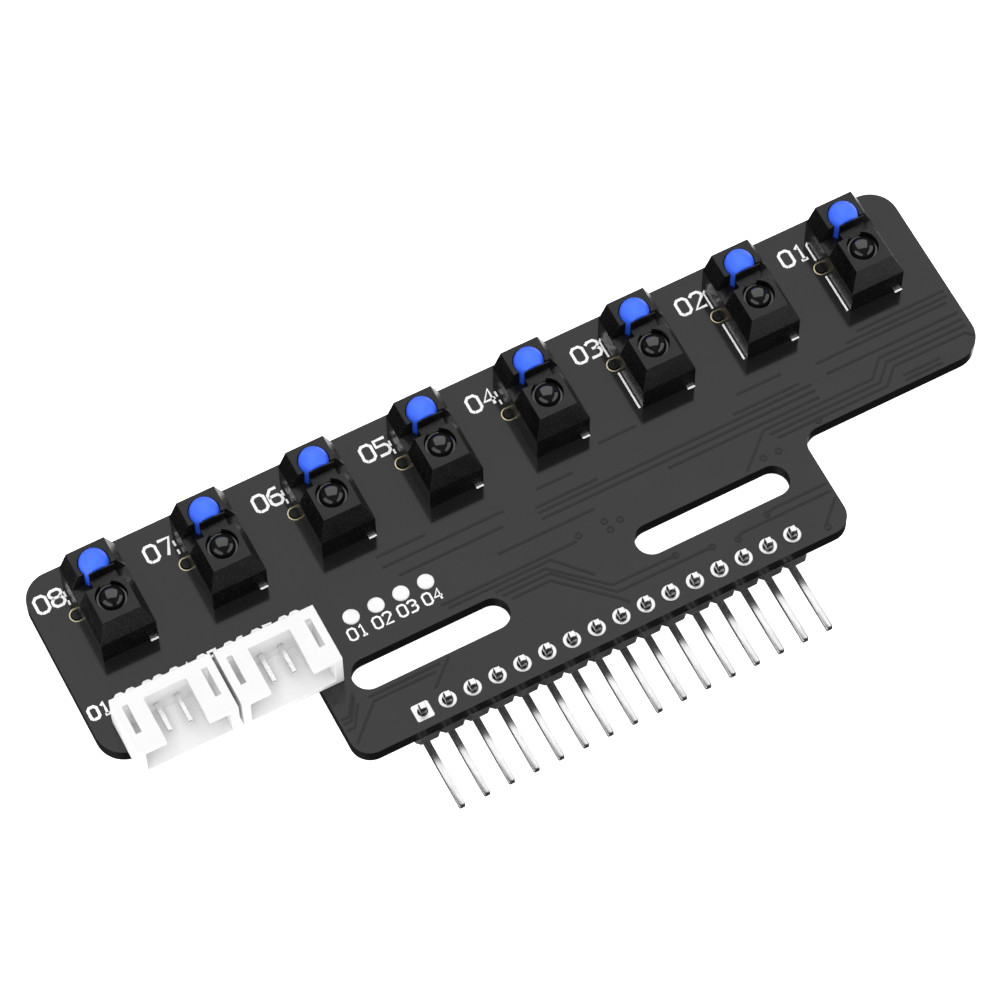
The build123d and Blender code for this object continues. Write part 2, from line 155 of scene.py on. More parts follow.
class Finish:
    """One material, built from a Principled shader whose steady values are set on it directly."""

    def __init__(self, name, **steady):
        self.material = bpy.data.materials.new(name)
        self.material.use_nodes = True
        self.tree = self.material.node_tree
        self.shader = self.tree.nodes["Principled BSDF"]
        for label, value in steady.items():
            socket = label.replace("_", " ").title().replace("Ior", "IOR")
            self.shader.inputs[socket].default_value = value
        place = {0: self.node("ShaderNodeTexCoord", {}, {}, "Object"), "Scale": 1 / MM}
        self.mm = self.node("ShaderNodeVectorMath", {"operation": "SCALE"}, place)

    def node(self, kind, settings, inputs, output=0):
        """Adds a node: its settings first, then the values or links of its sockets."""
        made = self.tree.nodes.new(kind)
        for label, value in settings.items():
            setattr(made, label, value)
        for socket, value in inputs.items():
            self.feed(made.inputs[socket], value)
        return Value(self, made.outputs[output])

    def feed(self, socket, value):
        if isinstance(value, Value):
            self.tree.links.new(value.socket, socket)
        else:
            socket.default_value = value

    def noise(self, size, detail=2.0, stretch=None):
        """Smooth unevenness from 0 to 1, about size millimetres across."""
        place = self.mm
        if stretch:
            terms = {0: place, 1: stretch}
            place = self.node("ShaderNodeVectorMath", {"operation": "MULTIPLY"}, terms)
        inputs = {"Vector": place, "Scale": 1 / size, "Detail": detail}
        return self.node("ShaderNodeTexNoise", {}, inputs)

    def along(self, axis):
        """One coordinate of the surface, in millimetres."""
        return self.node("ShaderNodeSeparateXYZ", {}, {0: self.mm}, axis)

    def ramp(self, value, low, high, out_low=0.0, out_high=1.0):
        inputs = {0: value, 1: low, 2: high, 3: out_low, 4: out_high}
        return self.node("ShaderNodeMapRange", {"clamp": True}, inputs)

    def mix(self, share, colour_a, colour_b):
        inputs = {0: share, 6: colour_a, 7: colour_b}
        return self.node("ShaderNodeMix", {"data_type": "RGBA"}, inputs, 2)

    def bump(self, height, depth):
        """A relief of that many millimetres."""
        inputs = {"Height": height, "Distance": depth * MM, "Strength": 1.0}
        return self.node("ShaderNodeBump", {}, inputs)

    def wear(self, colour=None, roughness=None, normal=None, metallic=None):
        for label, value in (
            ("Base Color", colour),
            ("Roughness", roughness),
            ("Normal", normal),
            ("Metallic", metallic),
        ):
            if value is not None:
                self.feed(self.shader.inputs[label], value)
        return self.material


def grey(level, blue=0.0):
    return (level, level, level * (1 + blue), 1)


def solder_mask():
    """Glossy black mask on both faces; the cut edge of the board is matt and darker."""
    f = Finish("solder_mask", specular_ior_level=0.5)
    cut_edge = 1 - f.ramp(abs(f.along("Z")), 0.76, 0.79)
    clouds = f.noise(9.0, 3.0)
    weave = f.noise(0.35, 2.0)
    face = f.mix(clouds, grey(0.0075), grey(0.0115))
    colour = f.mix(cut_edge, face, grey(0.0012))
    gloss = f.noise(3.0, 4.0) * 0.05 + 0.10
    roughness = (1 - cut_edge) * gloss + cut_edge * 0.2
    return f.wear(colour, roughness, f.bump(clouds * 0.5 + weave * 0.02, 0.004))


def copper_under_mask():
    """Mask that dips off a copper track: as glossy as the board, a touch darker."""
    f = Finish("masked_copper", specular_ior_level=0.36)
    clouds = f.noise(6.0, 3.0)
    colour = f.mix(clouds, grey(0.0055), grey(0.0085))
    return f.wear(colour, f.noise(2.0, 3.0) * 0.06 + 0.12, f.bump(f.noise(0.6), 0.003))


def white_ink():
    f = Finish("white_ink", specular_ior_level=0.35)
    print_grain = f.noise(0.12, 3.0)
    colour = f.mix(f.ramp(print_grain, 0.35, 0.7), grey(0.86), grey(0.97))
    return f.wear(colour, print_grain * 0.2 + 0.5, f.bump(print_grain, 0.004))


def metal(name, dull, bright, roughness, grain, relief, stretch=None):
    """Plated or soldered metal with a fine uneven grain."""
    f = Finish(name, metallic=1.0)
    spots = f.noise(grain, 3.0, stretch)
    colour = f.mix(f.ramp(spots, 0.3, 0.7), dull, bright)
    return f.wear(colour, f.noise(grain * 2.5, 2.0) * 0.1 + roughness, f.bump(spots, relief))


def satin_moulding(name, dark, light, roughness, grain=0.25, relief=0.004):
    """Spark-textured moulded plastic: fine grain, slow cloudiness and duller high spots."""
    f = Finish(name, specular_ior_level=0.42)
    texture = f.noise(grain, 3.0)
    clouds = f.noise(2.2, 3.0)
    colour = f.mix(f.ramp(clouds * 0.6 + texture * 0.4, 0.35, 0.65), dark, light)
    sheen = f.ramp(texture, 0.3, 0.7, roughness - 0.06, roughness + 0.08)
    return f.wear(colour, sheen, f.bump(texture, relief))


def blue_resin():
    """Tinted emitter resin with painted light: brighter towards the top of the dome, and painted
    shade deeper at its foot.
    """
    f = Finish("blue_resin", specular_ior_level=0.32)
    # Painted light: the blue brightens with height as if lit from above, and the foot gets painted
    # shade.
    height = f.ramp(f.along("Z"), 5.2, 7.2)
    swirl = f.noise(1.1, 2.0)
    painted_light_and_swirl = height * 0.65 + swirl * 0.35
    # The darker blue is the painted shade at the foot, the brighter one the painted light near the
    # top.
    painted_shade_blue, bright = (0.018, 0.085, 0.62, 1), (0.052, 0.155, 0.98, 1)
    colour = f.mix(f.ramp(painted_light_and_swirl, 0.15, 0.85), painted_shade_blue, bright)
    return f.wear(colour, f.noise(0.8, 2.0) * 0.08 + 0.34, f.bump(swirl, 0.003))


def black_resin():
    """Filter resin of the detector: glossy and almost black."""
    f = Finish("black_resin", specular_ior_level=1.0)
    swirl = f.noise(0.9, 2.0)
    colour = f.mix(swirl, grey(0.004), grey(0.008, 0.1))
    return f.wear(colour, swirl * 0.05 + 0.07, f.bump(swirl, 0.002))


def white_nylon():
    f = Finish("white_nylon", specular_ior_level=0.4)
    clouds = f.noise(2.5, 3.0)
    grain = f.noise(0.2, 3.0)
    colour = f.mix(clouds, grey(0.69), grey(0.74))
    return f.wear(colour, grain * 0.12 + 0.42, f.bump(grain, 0.003))


def moulding_compound():
    f = Finish("moulding_compound", specular_ior_level=0.4)
    grain = f.noise(0.09, 4.0)
    colour = f.mix(f.ramp(grain, 0.3, 0.7), grey(0.010), grey(0.022))
    return f.wear(colour, grain * 0.2 + 0.5, f.bump(grain, 0.006))


def ceramic(name, dark, light, roughness):
    f = Finish(name, specular_ior_level=0.45)
    grain = f.noise(0.15, 3.0)
    return f.wear(f.mix(grain, dark, light), grain * 0.15 + roughness, f.bump(grain, 0.004))


MASK = solder_mask()
TRACK = copper_under_mask()
INK = white_ink()
DULL_GOLD, BRIGHT_GOLD = (0.62, 0.54, 0.33, 1), (0.83, 0.75, 0.52, 1)
GOLD = metal("gold_plating", DULL_GOLD, BRIGHT_GOLD, 0.2, 0.3, 0.004)
TIN_PAD = metal("levelled_tin", grey(0.93), grey(0.99), 0.3, 0.5, 0.0015)
TIN_LEAD = metal("tinned_lead", grey(0.78), grey(0.92), 0.2, 0.3, 0.0015)
PIN_PLATE = metal("bright_pin_plating", grey(0.84), grey(0.96), 0.17, 0.3, 0.002, (1, 0.25, 1))
SOLDER = metal("solder_alloy", grey(0.66), grey(0.8), 0.3, 0.5, 0.004)
STEEL = metal("stamped_steel", grey(0.55), grey(0.68), 0.26, 0.12, 0.003, (1, 0.12, 1))
SENSOR_BLACK = satin_moulding(
    "sensor_moulding", grey(0.0025), grey(0.006), 0.28, grain=0.3, relief=0.0015
)
HEADER_BLACK = satin_moulding("header_moulding", grey(0.02), grey(0.045), 0.45)
BUTTON_BLACK = satin_moulding("button_moulding", grey(0.012), grey(0.02), 0.45)
BLUE = blue_resin()
DARK_RESIN = black_resin()
NYLON = white_nylon()
COMPOUND = moulding_compound()
RESISTOR_FILM = ceramic("resistor_film", grey(0.012), grey(0.02), 0.35)
CAPACITOR_TAN = ceramic(
    "capacitor_body", (0.27, 0.17, 0.09, 1), (0.36, 0.24, 0.13, 1), 0.4
)
LAMP_RESIN = ceramic("lamp_resin", (0.62, 0.6, 0.48, 1), (0.78, 0.76, 0.62, 1), 0.18)


# ---------------------------------------------------------------- making pieces

def piece(name, mesh, finish, body="board"):
    """A finished piece at the origin, riding on its body."""
    made = bpy.data.objects.new(name, mesh)
    scene.collection.objects.link(made)
    if finish:
        mesh.materials.clear()
        mesh.materials.append(finish)
    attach(made, body)
    return made


def shade(mesh, angle=35):
    """Smooth faces with crisp lines wherever they meet more sharply than angle."""
    for face in mesh.polygons:
        face.use_smooth = True
    mesh.set_sharp_from_angle(angle=radians(angle))


def merged_copy(node, flat_faces=False):
    """A copy of a CAD piece's mesh, closed, with its flat faces in one if asked."""
    mesh = frame["nodes"][node].data.copy()
    work = bmesh.new()
    work.from_mesh(mesh)
    bmesh.ops.remove_doubles(work, verts=work.verts, dist=WELD)
    if flat_faces:
        bmesh.ops.dissolve_limit(
            work,
            angle_limit=radians(0.5),
            verts=work.verts,
            edges=work.edges,
            use_dissolve_boundaries=False,
        )
    work.to_mesh(mesh)
    work.free()
    shade(mesh, 40)
    return mesh


def broken_edges(node, finish, width, segments=2, body="board"):
    """A CAD piece with its moulded or stamped edges broken by a small round."""
    made = piece(f"{node}_finished", merged_copy(node, True), finish, body)
    bevel = made.modifiers.new("broken_edges", "BEVEL")
    bevel.width = width * MM
    bevel.segments = segments
    bevel.limit_method = "ANGLE"
    bevel.angle_limit = radians(30)
    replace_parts(made, node)


def lathe(work, at, profile, sides=48):
    """Turns a closed profile of (radius, height) points about a vertical axis through at."""
    rings = []
    for radius, height in profile:
        if radius < 1e-9:
            rings.append([work.verts.new((at.x, at.y, height))])
            continue
        turn = [2 * pi * i / sides for i in range(sides)]
        places = [(at.x + radius * cos(a), at.y + radius * sin(a), height) for a in turn]
        rings.append([work.verts.new(place) for place in places])
    for low, high in zip(rings, rings[1:]):
        for i in range(sides):
            j = (i + 1) % sides
            corners = [low[i % len(low)], low[j % len(low)]]
            corners += [high[j % len(high)], high[i % len(high)]]
            distinct = list(dict.fromkeys(corners))
            if len(distinct) > 2:
                work.faces.new(distinct)


def finished_mesh(work, name, angle=35):
    bmesh.ops.recalc_face_normals(work, faces=work.faces)
    mesh = bpy.data.meshes.new(name)
    work.to_mesh(mesh)
    work.free()
    shade(mesh, angle)
    return mesh


# ---------------------------------------------------------------- geometry node trees

class Pattern:
    """A Geometry Nodes tree under construction, with named inputs for its sizes."""

    def __init__(self, name, **sizes):
        self.tree = bpy.data.node_groups.new(name, "GeometryNodeTree")
        self.sizes = sizes
        self.ids = {}
        self.socket("Geometry", "INPUT", "NodeSocketGeometry")
        for label, value in sizes.items():
            kind = "NodeSocketInt" if isinstance(value, int) else "NodeSocketFloat"
            self.ids[label] = self.socket(label, "INPUT", kind)
        self.socket("Geometry", "OUTPUT", "NodeSocketGeometry")
        self.start = self.tree.nodes.new("NodeGroupInput")

    def socket(self, label, side, kind):
        made = self.tree.interface.new_socket(label, in_out=side, socket_type=kind)
        return made.identifier

    def size(self, label):
        return self.start.outputs[label]

    def geometry(self):
        return self.start.outputs["Geometry"]

    def node(self, kind, settings=None, inputs=None, output=0):
        made = self.tree.nodes.new(kind)
        for label, value in (settings or {}).items():
            setattr(made, label, value)
        for socket, value in (inputs or {}).items():
            target = made.inputs[socket]
            if isinstance(value, bpy.types.NodeSocket):
                self.tree.links.new(value, target)
            else:
                target.default_value = value
        return made.outputs[output]

    def soft_section(self, width, height):
        """A rectangle with its corners rounded by the Softness size."""
        sizes = {"Width": self.size(width), "Height": self.size(height)}
        section = self.node("GeometryNodeCurvePrimitiveQuadrilateral", {}, sizes)
        rounds = {0: section, "Count": 2, "Radius": self.size("Softness")}
        return self.node("GeometryNodeFilletCurve", {"mode": "POLY"}, rounds)

    def sweep(self, line, section, **more):
        """The section carried along the line."""
        inputs = {"Curve": line, "Profile Curve": section}
        inputs.update({label.replace("_", " "): value for label, value in more.items()})
        return self.node("GeometryNodeCurveToMesh", {}, inputs)

    def copies(self, points, solid):
        return self.node("GeometryNodeInstanceOnPoints", {}, {"Points": points, "Instance": solid})

    def mesh(self, source, finish, result):
        """Runs the tree on a source mesh and gives the outcome as a plain mesh."""
        solid = self.node("GeometryNodeRealizeInstances", {}, {0: result})
        inputs = {"Geometry": solid, "Material": finish}
        painted = self.node("GeometryNodeSetMaterial", {}, inputs)
        end = self.tree.nodes.new("NodeGroupOutput")
        self.tree.links.new(painted, end.inputs[0])
        holder = bpy.data.objects.new("pattern_holder", source)
        scene.collection.objects.link(holder)
        modifier = holder.modifiers.new("pattern", "NODES")
        modifier.node_group = self.tree
        for label, value in self.sizes.items():
            modifier[self.ids[label]] = value
        holder.update_tag()
        bpy.context.view_layer.update()
        evaluated = holder.evaluated_get(bpy.context.evaluated_depsgraph_get())
        made = bpy.data.meshes.new_from_object(evaluated)
        holder.modifiers.remove(modifier)
        bpy.data.objects.remove(holder)
        work = bmesh.new()
        work.from_mesh(made)
        bmesh.ops.remove_doubles(work, verts=work.verts, dist=0.0001 * MM)
        bmesh.ops.recalc_face_normals(work, faces=work.faces)
        work.to_mesh(made)
        work.free()
        shade(made)
        return made


def wires(paths):
    """A mesh of loose edges along paths of points."""
    mesh = bpy.data.meshes.new("paths")
    points, edges = [], []
    for path in paths:
        start = len(points)
        points += [tuple(p) for p in path]
        edges += [(start + i, start + i + 1) for i in range(len(path) - 1)]
    mesh.from_pydata(points, edges, [])
    return mesh


def dots(points):
    mesh = bpy.data.meshes.new("places")
    mesh.from_pydata([tuple(p) for p in points], [], [])
    return mesh


def ribbon(name, paths, finish, width, height, side=0.3):
    """Flat strips with sloped sides, laid along the paths on the board."""
    p = Pattern(name, Width=width * MM, Crown=width * (1 - side) * MM, Height=height * MM)
    line = p.node("GeometryNodeMeshToCurve", {}, {0: p.geometry()})
    line = p.node("GeometryNodeSetCurveNormal", {"mode": "Z_UP"}, {0: line})
    section = p.node(
        "GeometryNodeCurvePrimitiveQuadrilateral",
        {"mode": "TRAPEZOID"},
        {
            "Bottom Width": p.size("Width"),
            "Top Width": p.size("Crown"),
            "Height": p.size("Height"),
            "Offset": 0.0,
        },
    )
    return p.mesh(wires(paths), finish, p.sweep(line, section, Fill_Caps=True))


def pad_rings(name, points, finish, bore, outer, low, high, softness=0.03):
    """Plated rings through the board: one soft-edged section swept round each hole."""
    p = Pattern(
        name,
        MidRadius=(bore + outer) / 2,
        Wall=outer - bore,
        Depth=high - low,
        Lift=(high + low) / 2,
        Softness=softness * MM,
    )
    turn = {"Resolution": 40, "Radius": p.size("MidRadius")}
    circle = p.node("GeometryNodeCurvePrimitiveCircle", {}, turn)
    ring = p.sweep(circle, p.soft_section("Wall", "Depth"))
    lift = p.node("ShaderNodeCombineXYZ", {}, {"Z": p.size("Lift")})
    ring = p.node("GeometryNodeTransform", {}, {"Geometry": ring, "Translation": lift})
    return p.mesh(dots(points), finish, p.copies(p.geometry(), ring))


def pin_row(name, path, finish, count, pitch, width, bend, taper):
    """A row of bent square pins: one section swept along the path, narrowing at both tips."""
    p = Pattern(
        name,
        Count=count,
        Pitch=pitch,
        Width=width,
        Bend=bend,
        Taper=taper,
        Softness=0.05 * MM,
        TipShare=0.8,
    )
    line = p.node("GeometryNodeMeshToCurve", {}, {0: p.geometry()})
    corner = {0: line, "Count": 8, "Radius": p.size("Bend")}
    line = p.node("GeometryNodeFilletCurve", {"mode": "POLY"}, corner)
    run = p.node("GeometryNodeSplineParameter", {}, {}, "Length")
    whole = p.node("GeometryNodeSplineLength", {}, {}, "Length")
    rest = p.node("ShaderNodeMath", {"operation": "SUBTRACT"}, {0: whole, 1: run})
    nearest = p.node("ShaderNodeMath", {"operation": "MINIMUM"}, {0: run, 1: rest})
    narrowing = {0: nearest, 1: 0.0, 2: p.size("Taper"), 3: p.size("TipShare"), 4: 1.0}
    share = p.node("ShaderNodeMapRange", {"clamp": True}, narrowing)
    pin = p.sweep(line, p.soft_section("Width", "Width"), Scale=share, Fill_Caps=True)
    step = p.node("ShaderNodeCombineXYZ", {}, {"X": p.size("Pitch")})
    places = p.node("GeometryNodeMeshLine", {}, {"Count": p.size("Count"), "Offset": step})
    return p.mesh(wires([path]), finish, p.copies(places, pin))


def solder_fillets(name, points, finish, foot, neck, height):
    """Concave cones of solder that climb from a pad to the lead in it, below the board."""
    p = Pattern(name, Foot=foot, Neck=neck / foot, Height=height)
    drop = p.node("ShaderNodeMath", {"operation": "MULTIPLY"}, {0: p.size("Height"), 1: -1.0})
    end = p.node("ShaderNodeCombineXYZ", {}, {"Z": drop})
    line = p.node("GeometryNodeCurvePrimitiveLine", {}, {"End": end})
    line = p.node("GeometryNodeResampleCurve", {}, {"Curve": line, "Count": 7})
    along = p.node("GeometryNodeSplineParameter", {}, {}, "Factor")
    rest = p.node("ShaderNodeMath", {"operation": "SUBTRACT"}, {0: 1.0, 1: along})
    hollow = p.node("ShaderNodeMath", {"operation": "POWER"}, {0: rest, 1: 2.2})
    narrowing = {0: hollow, 1: 0.0, 2: 1.0, 3: p.size("Neck"), 4: 1.0}
    width = p.node("ShaderNodeMapRange", {}, narrowing)
    turn = {"Resolution": 20, "Radius": p.size("Foot")}
    circle = p.node("GeometryNodeCurvePrimitiveCircle", {}, turn)
    cone = p.sweep(line, circle, Scale=width, Fill_Caps=True)
    return p.mesh(dots(points), finish, p.copies(p.geometry(), cone))


# ---------------------------------------------------------------- board, tracks and marks

def carry(node, finish):
    """Keeps a CAD piece as it is and gives it its finish."""
    mesh = frame["nodes"][node].data
    mesh.materials.clear()
    mesh.materials.append(finish)


carry("circuit_board", MASK)

TRACK_WIDTH = 0.26
TRACK_HEIGHT = 0.035
BITE = 0.004


def on_top(path, height):
    """A path in millimetres, lifted so that a strip of that height just bites into the face."""
    z = board_top + (height / 2 - BITE) * MM
    return [(x * MM, y * MM, z) for x, y in path]


def lines(*spans):
    """Straight tracks along the row, each given as x start, x end and y."""
    return [[(x0, y), (x1, y)] for x0, x1, y in spans]


tracks = lines(
    (35.5, 44.9, 10.13), (34.0, 44.9, 9.48), (30.5, 44.5, 8.88), (30.8, 44.9, 7.48),
    (37.0, 41.0, 4.03), (37.0, 41.0, 3.48), (22.3, 27.0, 9.48), (21.0, 28.0, 7.78),
    (0.2, 29.0, 7.18), (0.2, 29.0, 6.48), (13.0, 29.0, 5.68), (-15.0, -10.0, 10.08),
    (1.2, 5.0, 9.43), (-15.0, -2.5, 8.88), (0.3, 6.7, 7.78), (-14.0, -3.3, 7.48),
    (-5.0, 5.0, 5.18), (8.5, 12.5, 10.98), (-12.0, 2.0, 2.98), (-22.0, -14.7, -2.12),
)
tracks += [
    [(19.3, 2.0), (22.7, 5.03), (34.3, 5.03), (35.95, 6.68), (44.9, 6.68)],
    [(23.0, 4.38), (34.75, 4.38), (36.35, 5.98), (44.9, 5.98)],
    [(23.5, 3.73), (35.2, 3.73), (36.75, 5.28), (44.4, 5.28), (45.1, 4.6)],
    [(18.8, -2.72), (19.5, -2.47), (25.1, -2.47)],
    [(15.2, -3.72), (15.7, -3.32), (25.1, -3.32)],
    [(25.2, -4.1), (22.9, -6.3)],
    [(-6.0, 0.58), (-2.0, 0.58), (2.9, -4.1), (3.4, -4.7)],
    [(-6.6, 1.23), (-1.7, 1.23), (2.9, -3.3), (12.7, -3.3)],
    [(-7.0, 1.83), (-1.8, 1.83), (2.8, -2.45), (9.3, -2.5)],
    [(-11.5, 2.43), (-1.0, 2.43), (1.9, -0.8)],
    [(-24.9, -5.7), (-21.7, -2.67), (-15.4, -2.67)],
    [(-25.2, -4.2), (-24.4, -4.2), (-23.1, -2.2)],
    [(-25.2, -3.5), (-24.4, -3.5), (-23.1, -1.5)],
    [(-25.2, -3.0), (-24.4, -3.0), (-23.1, -1.1)],
    [(-13.7, -1.9), (-16.2, -4.1)],
]
track_paths = [on_top(path, TRACK_HEIGHT) for path in tracks]
track_mesh = ribbon("track", track_paths, TRACK, TRACK_WIDTH, TRACK_HEIGHT)
piece("masked_tracks", track_mesh, None)

VIAS = [
    (21.3, 2.5), (22.9, 2.5), (27.7, 3.6), (18.8, -2.72), (15.2, -3.72), (23.1, -6.5),
    (2.4, 3.4), (5.2, 3.6), (6.6, 3.1), (5.3, 2.6), (12.7, -3.3), (9.3, -2.5),
]
VIA_BORE, VIA_RADIUS = 0.16 * MM, 0.36 * MM
via_low, via_high = board_top - 0.01 * MM, board_top + 0.03 * MM
via_places = [(x * MM, y * MM, 0) for x, y in VIAS]
via_mesh = pad_rings("via", via_places, TRACK, VIA_BORE, VIA_RADIUS, via_low, via_high, 0.015)
piece("masked_vias", via_mesh, None)

# Strokes of each digit on a grid 4 wide and 6 high.
DIGITS = {
    "0": [[(1, 0), (3, 0), (4, 1), (4, 5), (3, 6), (1, 6), (0, 5), (0, 1), (1, 0)]],
    "1": [[(0.8, 4.8), (2, 6), (2, 0)], [(0.8, 0), (3.2, 0)]],
    "2": [[(0, 5), (1, 6), (3, 6), (4, 5), (4, 4), (0, 0), (4, 0)]],
    "3": [
        [(0, 5.2), (1, 6), (3, 6), (4, 5), (4, 4), (3, 3.2), (1.5, 3.2)],
        [(3, 3.2), (4, 2.3), (4, 1), (3, 0), (0, 0)],
    ],
    "4": [[(3, 0), (3, 6), (0, 2), (4, 2)]],
    "5": [[(4, 6), (0, 6), (0, 3.6), (3, 3.6), (4, 2.6), (4, 1), (3, 0), (0, 0)]],
    "6": [
        [(3.6, 6), (1.4, 6), (0, 4.4), (0, 1), (1, 0)]
        + [(3, 0), (4, 1), (4, 2.5), (3, 3.4), (0, 3.4)],
    ],
    "7": [[(0, 6), (4, 6), (1.5, 0)]],
    "8": [
        [(1, 3.2), (0, 4.2), (0, 5.2), (1, 6), (3, 6), (4, 5.2), (4, 4.2), (3, 3.2), (1, 3.2)],
        [(1, 3.2), (0, 2.2), (0, 1), (1, 0), (3, 0), (4, 1), (4, 2.2), (3, 3.2)],
    ],
}
DIGIT_WIDTH, DIGIT_HEIGHT, DIGIT_STEP = 4, 6, 5.4
INK_WIDTH = 0.3
OUTLINE_WIDTH = 0.2
INK_HEIGHT = 0.02


def numeral(text, x, y, height):
    """Strokes of a number whose middle is at x, y, in millimetres."""
    grid = height / DIGIT_HEIGHT
    gap = DIGIT_STEP - DIGIT_WIDTH
    start = x - (len(text) * DIGIT_STEP - gap) * grid / 2
    foot = y - height / 2
    strokes = []
    for place, digit in enumerate(text):
        left = start + place * DIGIT_STEP * grid
        for stroke in DIGITS[digit]:
            strokes.append([(left + u * grid, foot + v * grid) for u, v in stroke])
    return strokes


OUTLINED_CHANNELS = 3
CLIP_BORE, CLIP_RADIUS = 0.55, 0.75
CHANNEL_LABEL, TEST_LABEL, SIGNAL_LABEL = 1.7, 1.15, 1.25
SIGNAL_FIRST_X, SIGNAL_Y, SIGNAL_STEP = -44.0, 8.0, 2.75
clip_y = clip_high.y / MM - CLIP_RADIUS
marks = []
outlines = []
for number in CHANNELS:
    x = centre(f"sensor_{number}_detector").x / MM
    front, back = (edge.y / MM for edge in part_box(f"sensor_{number}_housing"))
    marks += numeral(f"{number:02d}", x - 4.55, back - 1.1, CHANNEL_LABEL)
    if number <= OUTLINED_CHANNELS:
        side = x - 2.95
        outlines.append([(side, front + 0.2), (side, clip_y - 0.95)])
        corner = (x - 2.3, back - 0.05)
        outlines.append([(side, clip_y + 0.95), (side, back - 0.7), corner])
    else:
        side = x - 3.0
        outlines.append([(side, clip_y + 1.2), (side, clip_y + 1.7)])
        outlines.append([(side, clip_y + 2.1), (side, clip_y + 2.7)])
    outlines.append([(x + 1.95, front - 0.12), (x + 2.7, front - 0.12)])
for number in range(TEST_COUNT):
    x = (test_first_x + number * test_pitch) / MM
    outlines += numeral(f"{number + 1:02d}", x - 0.15, test_y / MM - 1.65, TEST_LABEL)
for number in CHANNELS:
    x = SIGNAL_FIRST_X + SIGNAL_STEP * (number - 1)
    marks += numeral(f"{number:02d}", x, SIGNAL_Y, SIGNAL_LABEL)
mark_paths = [on_top(path, INK_HEIGHT) for path in marks]
mark_mesh = ribbon("ink", mark_paths, INK, INK_WIDTH, INK_HEIGHT, 0.1)
piece("printed_marks", mark_mesh, None)
outline_paths = [on_top(path, INK_HEIGHT) for path in outlines]
outline_mesh = ribbon("outline", outline_paths, INK, OUTLINE_WIDTH, INK_HEIGHT, 0.1)
piece("printed_outlines", outline_mesh, None)


# ---------------------------------------------------------------- plated pads

LEFT_CLIP, RIGHT_CLIP = -2.9 * MM, 1.9 * MM
clip_bore, clip_outer = CLIP_BORE * MM, CLIP_RADIUS * MM
clip_places = []
for emitter in emitters:
    clip_places.append((emitter.x + LEFT_CLIP, clip_high.y - clip_outer, 0))
    clip_places.append((emitter.x + RIGHT_CLIP, clip_low.y + clip_outer, 0))
clip_rings = pad_rings(
    "clip_ring", clip_places, GOLD, clip_bore, clip_outer, clip_low.z, clip_high.z, 0.05
)
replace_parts(piece("clip_hole_rings", clip_rings, None), "clip_hole_plating")

pin_bore = 0.5025 * MM
header_places = [(header_first_x + i * header_pitch, header_y, 0) for i in range(1, HEADER_COUNT)]
rings = pad_rings(
    "header_ring", header_places, TIN_PAD, pin_bore, pad_radius, pads_low.z, pads_high.z, 0.06
)
header_rings = piece("header_pad_rings", rings, None)


def square_pad(at_x, at_y, half, bore, low, high):
    """The square pad that marks the first pin."""
    work = bmesh.new()
    sides = 40
    loops = []
    rims = ((bore, low, False), (half, low, True), (half, high, True), (bore, high, False))
    for radius, height, square in rims:
        loop = []
        for i in range(sides):
            a = 2 * pi * (i + 0.5) / sides
            reach = radius / max(abs(cos(a)), abs(sin(a))) if square else radius
            loop.append(work.verts.new((at_x + reach * cos(a), at_y + reach * sin(a), height)))
        loops.append(loop)
    for a, b in zip(loops, loops[1:] + loops[:1]):
        for i in range(sides):
            j = (i + 1) % sides
            work.faces.new((a[i], a[j], b[j], b[i]))
    return finished_mesh(work, "square_pad", 30)


first_pad = piece(
    "first_header_pad",
    square_pad(header_first_x, header_y, pad_radius, pin_bore, pads_low.z, pads_high.z),
    TIN_PAD,
)
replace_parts(header_rings, "header_pads")
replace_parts(first_pad, "header_pads")

soft = 0.03 * MM
disc = [
    (0, test_low.z),
    (test_radius, test_low.z),
    (test_radius, test_high.z - soft / 2),
    (test_radius - soft, test_high.z),
    (test_radius * 0.5, test_high.z - 0.004 * MM),
    (0, test_high.z - 0.006 * MM),
]
work = bmesh.new()
for i in range(TEST_COUNT):
    lathe(work, Vector((test_first_x + i * test_pitch, test_y)), disc)
test_discs = finished_mesh(work, "test_pad_discs")
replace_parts(piece("test_pad_discs", test_discs, TIN_PAD), "test_pads")


# ---------------------------------------------------------------- header

pin = 0.64 * MM
INNER_BEND = 0.35 * MM
bend = INNER_BEND + pin / 2
taper = 0.16 * MM
leg_z = pins_low.z + pin / 2
pin_path = [
    (header_first_x, header_y, pins_high.z),
    (header_first_x, header_y, pins_high.z - taper),
    (header_first_x, header_y, leg_z),
    (header_first_x, pins_low.y + taper, leg_z),
    (header_first_x, pins_low.y, leg_z),
]
pin_mesh = pin_row("header_pin", pin_path, PIN_PLATE, HEADER_COUNT, header_pitch, pin, bend, taper)
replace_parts(piece("header_pin_row", pin_mesh, None), "header_pins")
broken_edges("header_strip", HEADER_BLACK, 0.06)


# ---------------------------------------------------------------- sensors

DETECTOR_RISE, DETECTOR_STEP = 0.95 * MM, 0.2 * MM
STOP_LEFT, STOP_BACK, STOP_DROP = 1.03 * MM, 1.03 * MM, 2.4 * MM


def dome_profile(foot, rim, crown_foot, radius, top, steps=14):
    """From the foot up a straight barrel to a narrow rim, then over a dome to its pole."""
    rise = top - rim
    soft = 0.05 * MM
    profile = [(0, foot), (radius - soft, foot), (radius, foot + soft)]
    profile.append((radius, rim - 0.04 * MM))
    if crown_foot < radius:
        profile += [(radius - 0.03 * MM, rim), (crown_foot, rim)]
    turn = [pi / 2 * i / steps for i in range(1, steps)]
    profile += [(crown_foot * cos(a), rim + rise * sin(a)) for a in turn]
    return profile + [(0, top)]


